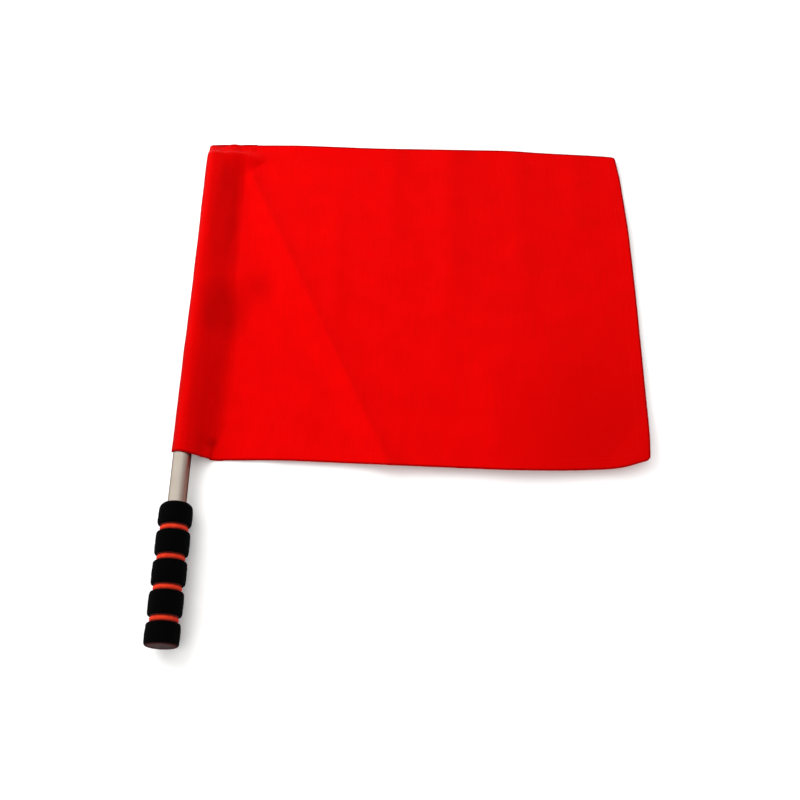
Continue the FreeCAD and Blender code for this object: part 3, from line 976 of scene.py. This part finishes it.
def red_cloth_finish(threads_per_metre, cloth_reach):
    """Dyed plain weave on the cloth's own grid, with painted shade round the tube, at spots, towards the lower fly
    corner, along the sleeve's side and along its edges.
    """
    finish, tree, shader = new_finish("red_cloth")
    places = add_node(tree, "ShaderNodeUVMap", {}, uv_map="cloth_metres").outputs["UV"]
    across = one_axis(tree, places, "X")
    upward = one_axis(tree, places, "Y")
    waves = []
    for way in (across, upward):
        angle = worked_out(tree, "MULTIPLY", way, threads_per_metre * math.pi)
        waves.append(worked_out(tree, "SINE", angle))
    crossing = worked_out(tree, "MULTIPLY", *waves)
    weave = worked_out(tree, "MULTIPLY_ADD", crossing, 0.5, 0.5)
    streaks = add_node(tree, "ShaderNodeMapping", {"Vector": places, "Scale": (1, 0.03, 1)}).outputs[0]
    slubs = mottle(tree, streaks, per_metre=900)
    uneven = worked_out(tree, "ADD", slubs, mottle(tree, places, per_metre=45))
    share = ranged(tree, worked_out(tree, "MULTIPLY_ADD", weave, weave_share, uneven), *shade_shares)
    # Painted shade: the cloth round the tube takes a darker copy of the laid cloth's colour
    round_tube = colour_between(tree, share, (0.415, 0.0004, 0.0004), (0.485, 0.0005, 0.0005))
    laid = colour_between(tree, share, (0.478, 0.0005, 0.0005), (0.565, 0.0006, 0.0006))
    # Painted shade, darker towards the lower fly corner
    unshaded_share = ranged(tree, how_far(tree, places, (cloth_reach, 0, 0)), *corner_shade_reach)
    laid = colour_between(tree, unshaded_share, (0.445, 0.0005, 0.0005), laid)
    off_tube = ranged(tree, across, *[pocket_reach + past_seam for past_seam in tube_shade_end])
    dye_and_shade = colour_between(tree, off_tube, round_tube, laid)
    # Painted shade at spots on the sleeve and beside the seam
    for past_seam, up_cloth, start, end, spot_shade in painted_shade_spots:
        from_spot = how_far(tree, places, (pocket_reach + past_seam, up_cloth, 0))
        dye_and_shade = colour_between(tree, ranged(tree, from_spot, start, end), spot_shade, dye_and_shade)
    # Painted shade in a soft dark stripe along the sleeve's outer side
    off_side = worked_out(tree, "ABSOLUTE", worked_out(tree, "SUBTRACT", across, side_reach))
    unshaded_side = ranged(tree, off_side, side_shade_width / 2, side_shade_width)
    dye_and_shade = colour_between(tree, unshaded_side, side_shade_colour, dye_and_shade)
    # Painted shade in a thin dark line along the cloth's edges
    nearest = upward
    for whole, place in ((flag_height, upward), (cloth_reach, across)):
        nearest = worked_out(tree, "MINIMUM", nearest, worked_out(tree, "SUBTRACT", whole, place))
    inside = ranged(tree, nearest, *edge_shade_reach)
    tree.links.new(colour_between(tree, inside, edge_shade_colour, dye_and_shade), shader.inputs["Base Color"])
    shader.inputs["Roughness"].default_value = 0.8
    shader.inputs["Specular IOR Level"].default_value = 0.05
    shader.inputs["Specular Tint"].default_value = (1.0, 0.03, 0.02, 1)
    shader.inputs["Sheen Weight"].default_value = 0.08
    shader.inputs["Sheen Roughness"].default_value = 0.4
    shader.inputs["Sheen Tint"].default_value = (1.0, 0.005, 0.005, 1)
    raise_surface(tree, shader, weave, depth=0.03 * mm)
    return finish


middle_row = face[row_count // 2]
steps = np.linalg.norm(np.diff(middle_row, axis=0), axis=1)
across_cloth = np.concatenate([[0], np.cumsum(steps)])
pocket_reach = across_cloth[seam_column]
side_reach = across_cloth[np.argmin(middle_row[:, 0])] + 2 * mm
# Painted shade along the sleeve's outer side: its width and its colour
side_shade_width = 6.5 * mm
side_shade_colour = (0.32, 0.0005, 0.0005)
# The colour of the painted shade along the cloth's edges
edge_shade_colour = (0.26, 0.0005, 0.0005)
weave_share = 0.3
shade_shares = (0.7, 1.6)
tube_shade_end = (-10 * mm, 2 * mm)
# Painted shade at four spots: two half-way down the sleeve, one at its mouth and one beside the seam
painted_shade_spots = [
    (-9 * mm, 124 * mm, 1 * mm, 22 * mm, (0.365, 0.0004, 0.0004)),
    (-9 * mm, 141 * mm, 1 * mm, 26 * mm, (0.365, 0.0004, 0.0004)),
    (-6 * mm, 13 * mm, 1 * mm, 7 * mm, (0.34, 0.0004, 0.0004)),
    (17 * mm, 158 * mm, 2 * mm, 21 * mm, (0.44, 0.0005, 0.0005)),
]
# Painted shade towards the lower fly corner, from where it is full to where it is gone
corner_shade_reach = (40 * mm, 135 * mm)
# Painted shade along the cloth's edges fades out between these distances from them
edge_shade_reach = (0.7 * mm, 1.6 * mm)
red_cloth = red_cloth_finish(threads_per_metre=2800, cloth_reach=across_cloth[-1])
flag_cloth, cloth_border = cloth_solid("flag_cloth", face + cloth_corner, back + cloth_corner, red_cloth)
grid_places = np.stack([
    np.broadcast_to(across_cloth[None, :], (row_count, column_count)),
    np.broadcast_to(row_places[:, None], (row_count, column_count)),
], 2)
border_places = np.array([grid_places[place] for place in cloth_border])
point_places = np.concatenate([grid_places.reshape(-1, 2)] * 2 + [border_places] * 3)
weave_layer = flag_cloth.data.uv_layers.new(name="cloth_metres")
corner_points = np.zeros(len(flag_cloth.data.loops), np.int32)
flag_cloth.data.loops.foreach_get("vertex_index", corner_points)
weave_layer.data.foreach_set("uv", point_places[corner_points].astype(np.float32).ravel())
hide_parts("flag_sleeve", "flag_panel")
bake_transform(flag_cloth)

# Red polyester thread holds the cloth: one row beside the pocket, one across its shut top, and
# one round the three hems. Each stitch shows as a short bead on both sides of the cloth.
stitch_pitch = 2.9 * mm
stitch_length = 2.5 * mm
thread_radius = 0.14 * mm
stitch_inset = 2 * mm
closure_inset = 4 * mm
stitch_rings = 7
stitch_sides = 6
bead_end_share = 0.55
bead_crown_share = 0.4
bead_end_sunk_share = 0.7
look_ahead = 0.1 * mm
closure_points = 60


def cloth_path(line, sunk):
    """Points and outward directions along a line of the grid's rows and columns, on one side."""
    grid = back if sunk else face
    rows = np.array([place[0] for place in line])
    columns = np.array([place[1] for place in line])
    low_rows = np.clip(np.floor(rows).astype(int), 0, row_count - 2)
    low_columns = np.clip(np.floor(columns).astype(int), 0, column_count - 2)
    row_share = (rows - low_rows)[:, None]
    column_share = (columns - low_columns)[:, None]
    found = []
    for field in (grid, face_out):
        near, far = (
            field[side, low_columns] * (1 - column_share) + field[side, low_columns + 1] * column_share
            for side in (low_rows, low_rows + 1)
        )
        found.append(near * (1 - row_share) + far * row_share)
    return found[0] + cloth_corner, -found[1] if sunk else found[1]


def along_path(place, travelled, values):
    """A path's point or direction, at a distance travelled along it."""
    return np.array([np.interp(place, travelled, values[:, axis]) for axis in range(3)])


def stitch_beads(points, outs):
    """The points and faces of one row of stitches along a path."""
    steps = np.linalg.norm(np.diff(points, axis=0), axis=1)
    travelled = np.concatenate([[0], np.cumsum(steps)])
    bead_points = []
    bead_faces = []
    for bead in range(int(travelled[-1] / stitch_pitch)):
        start = bead * stitch_pitch
        first = len(bead_points)
        for ring in range(stitch_rings):
            share = ring / (stitch_rings - 1)
            place = start + stitch_length * share
            centre = along_path(place, travelled, points)
            ahead = along_path(place + look_ahead, travelled, points)
            forward = ahead - along_path(place - look_ahead, travelled, points)
            forward /= np.linalg.norm(forward)
            out_way = along_path(place, travelled, outs)
            out_way /= np.linalg.norm(out_way)
            sideways = np.cross(forward, out_way)
            crown = math.sin(math.pi * share)
            radius = thread_radius * (bead_end_share + (1 - bead_end_share) * crown)
            lift = thread_radius * ((bead_crown_share + bead_end_sunk_share) * crown - bead_end_sunk_share)
            for side in range(stitch_sides):
                angle = 2 * math.pi * side / stitch_sides
                offset = sideways * math.cos(angle) + out_way * math.sin(angle)
                point = centre + out_way * lift + offset * radius
                bead_points.append((point[0], point[1], max(point[2], 0)))
        for ring in range(stitch_rings - 1):
            for side in range(stitch_sides):
                next_side = (side + 1) % stitch_sides
                low = first + ring * stitch_sides
                high = low + stitch_sides
                bead_faces.append((low + side, low + next_side, high + next_side, high + side))
        bead_faces.append(tuple(first + side for side in range(stitch_sides - 1, -1, -1)))
        last = first + (stitch_rings - 1) * stitch_sides
        bead_faces.append(tuple(last + side for side in range(stitch_sides)))
    return bead_points, bead_faces


def sewn_rows(name, lines, node, finish):
    """One piece of stitches, on both sides of the cloth along each line."""
    points = []
    faces = []
    for line in lines:
        for sunk in (False, True):
            more_points, more_faces = stitch_beads(*cloth_path(line, sunk))
            faces += [tuple(corner + len(points) for corner in bead) for bead in more_faces]
            points += more_points
    piece = add_piece(name, points, faces, finish)
    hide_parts(node)
    return piece


def thread_finish():
    """Twisted polyester thread, with a little more shine than the cloth and a lighter red as painted highlight."""
    finish, tree, shader = new_finish("red_thread")
    twist = mottle(tree, stretched_places(tree), per_metre=4000, detail=2.0)
    # The thread's red is lighter than the cloth's: a painted highlight along the stitched lines
    colour = colour_between(tree, twist, (0.60, 0.0008, 0.0008), (0.70, 0.0010, 0.0010))
    tree.links.new(colour, shader.inputs["Base Color"])
    shader.inputs["Roughness"].default_value = 0.55
    shader.inputs["Specular IOR Level"].default_value = 0.3
    shader.inputs["Specular Tint"].default_value = (1.0, 0.05, 0.03, 1)
    raise_surface(tree, shader, twist, depth=0.03 * mm)
    return finish


def row_at(height):
    """Which row of the grid lies at a height of the cloth, or how far between which two."""
    return float(np.interp(height, row_places, np.arange(row_count)))


red_thread = thread_finish()
seam_stitch_column = seam_column + stitch_inset / cloth_pitch
seam_rows = np.linspace(row_at(stitch_inset), row_at(flag_height - stitch_inset), row_count)
seam_line = [(row, seam_stitch_column) for row in seam_rows]
seam_stitches = sewn_rows("seam_stitches", [seam_line], "sleeve_seam_thread", red_thread)
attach(seam_stitches, "sleeve")

closure_row = row_at(flag_height - closure_inset)
closure_columns = np.linspace(flank_column, seam_column, closure_points)
closure_line = [(closure_row, column) for column in closure_columns]
closure_stitches = sewn_rows("closure_stitches", [closure_line], "top_closure_thread", red_thread)
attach(closure_stitches, "sleeve")

lower_row = row_at(lower_hem_width - stitch_inset)
top_row = row_at(top_hem_start + stitch_inset)
fly_columns = np.arange(len(reach_places) - 1)
fly_column = sleeve_columns + float(np.interp(fly_hem_start + stitch_inset, reach_places[1:], fly_columns))
hem_columns = np.linspace(1, fly_column, column_count)
hem_lines = [[(row, column) for column in hem_columns] for row in (lower_row, top_row)]
hem_lines.append([(row, fly_column) for row in np.linspace(lower_row, top_row, row_count)])
hem_stitches = sewn_rows("hem_stitches", hem_lines, "panel_hem_thread", red_thread)
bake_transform(hem_stitches)
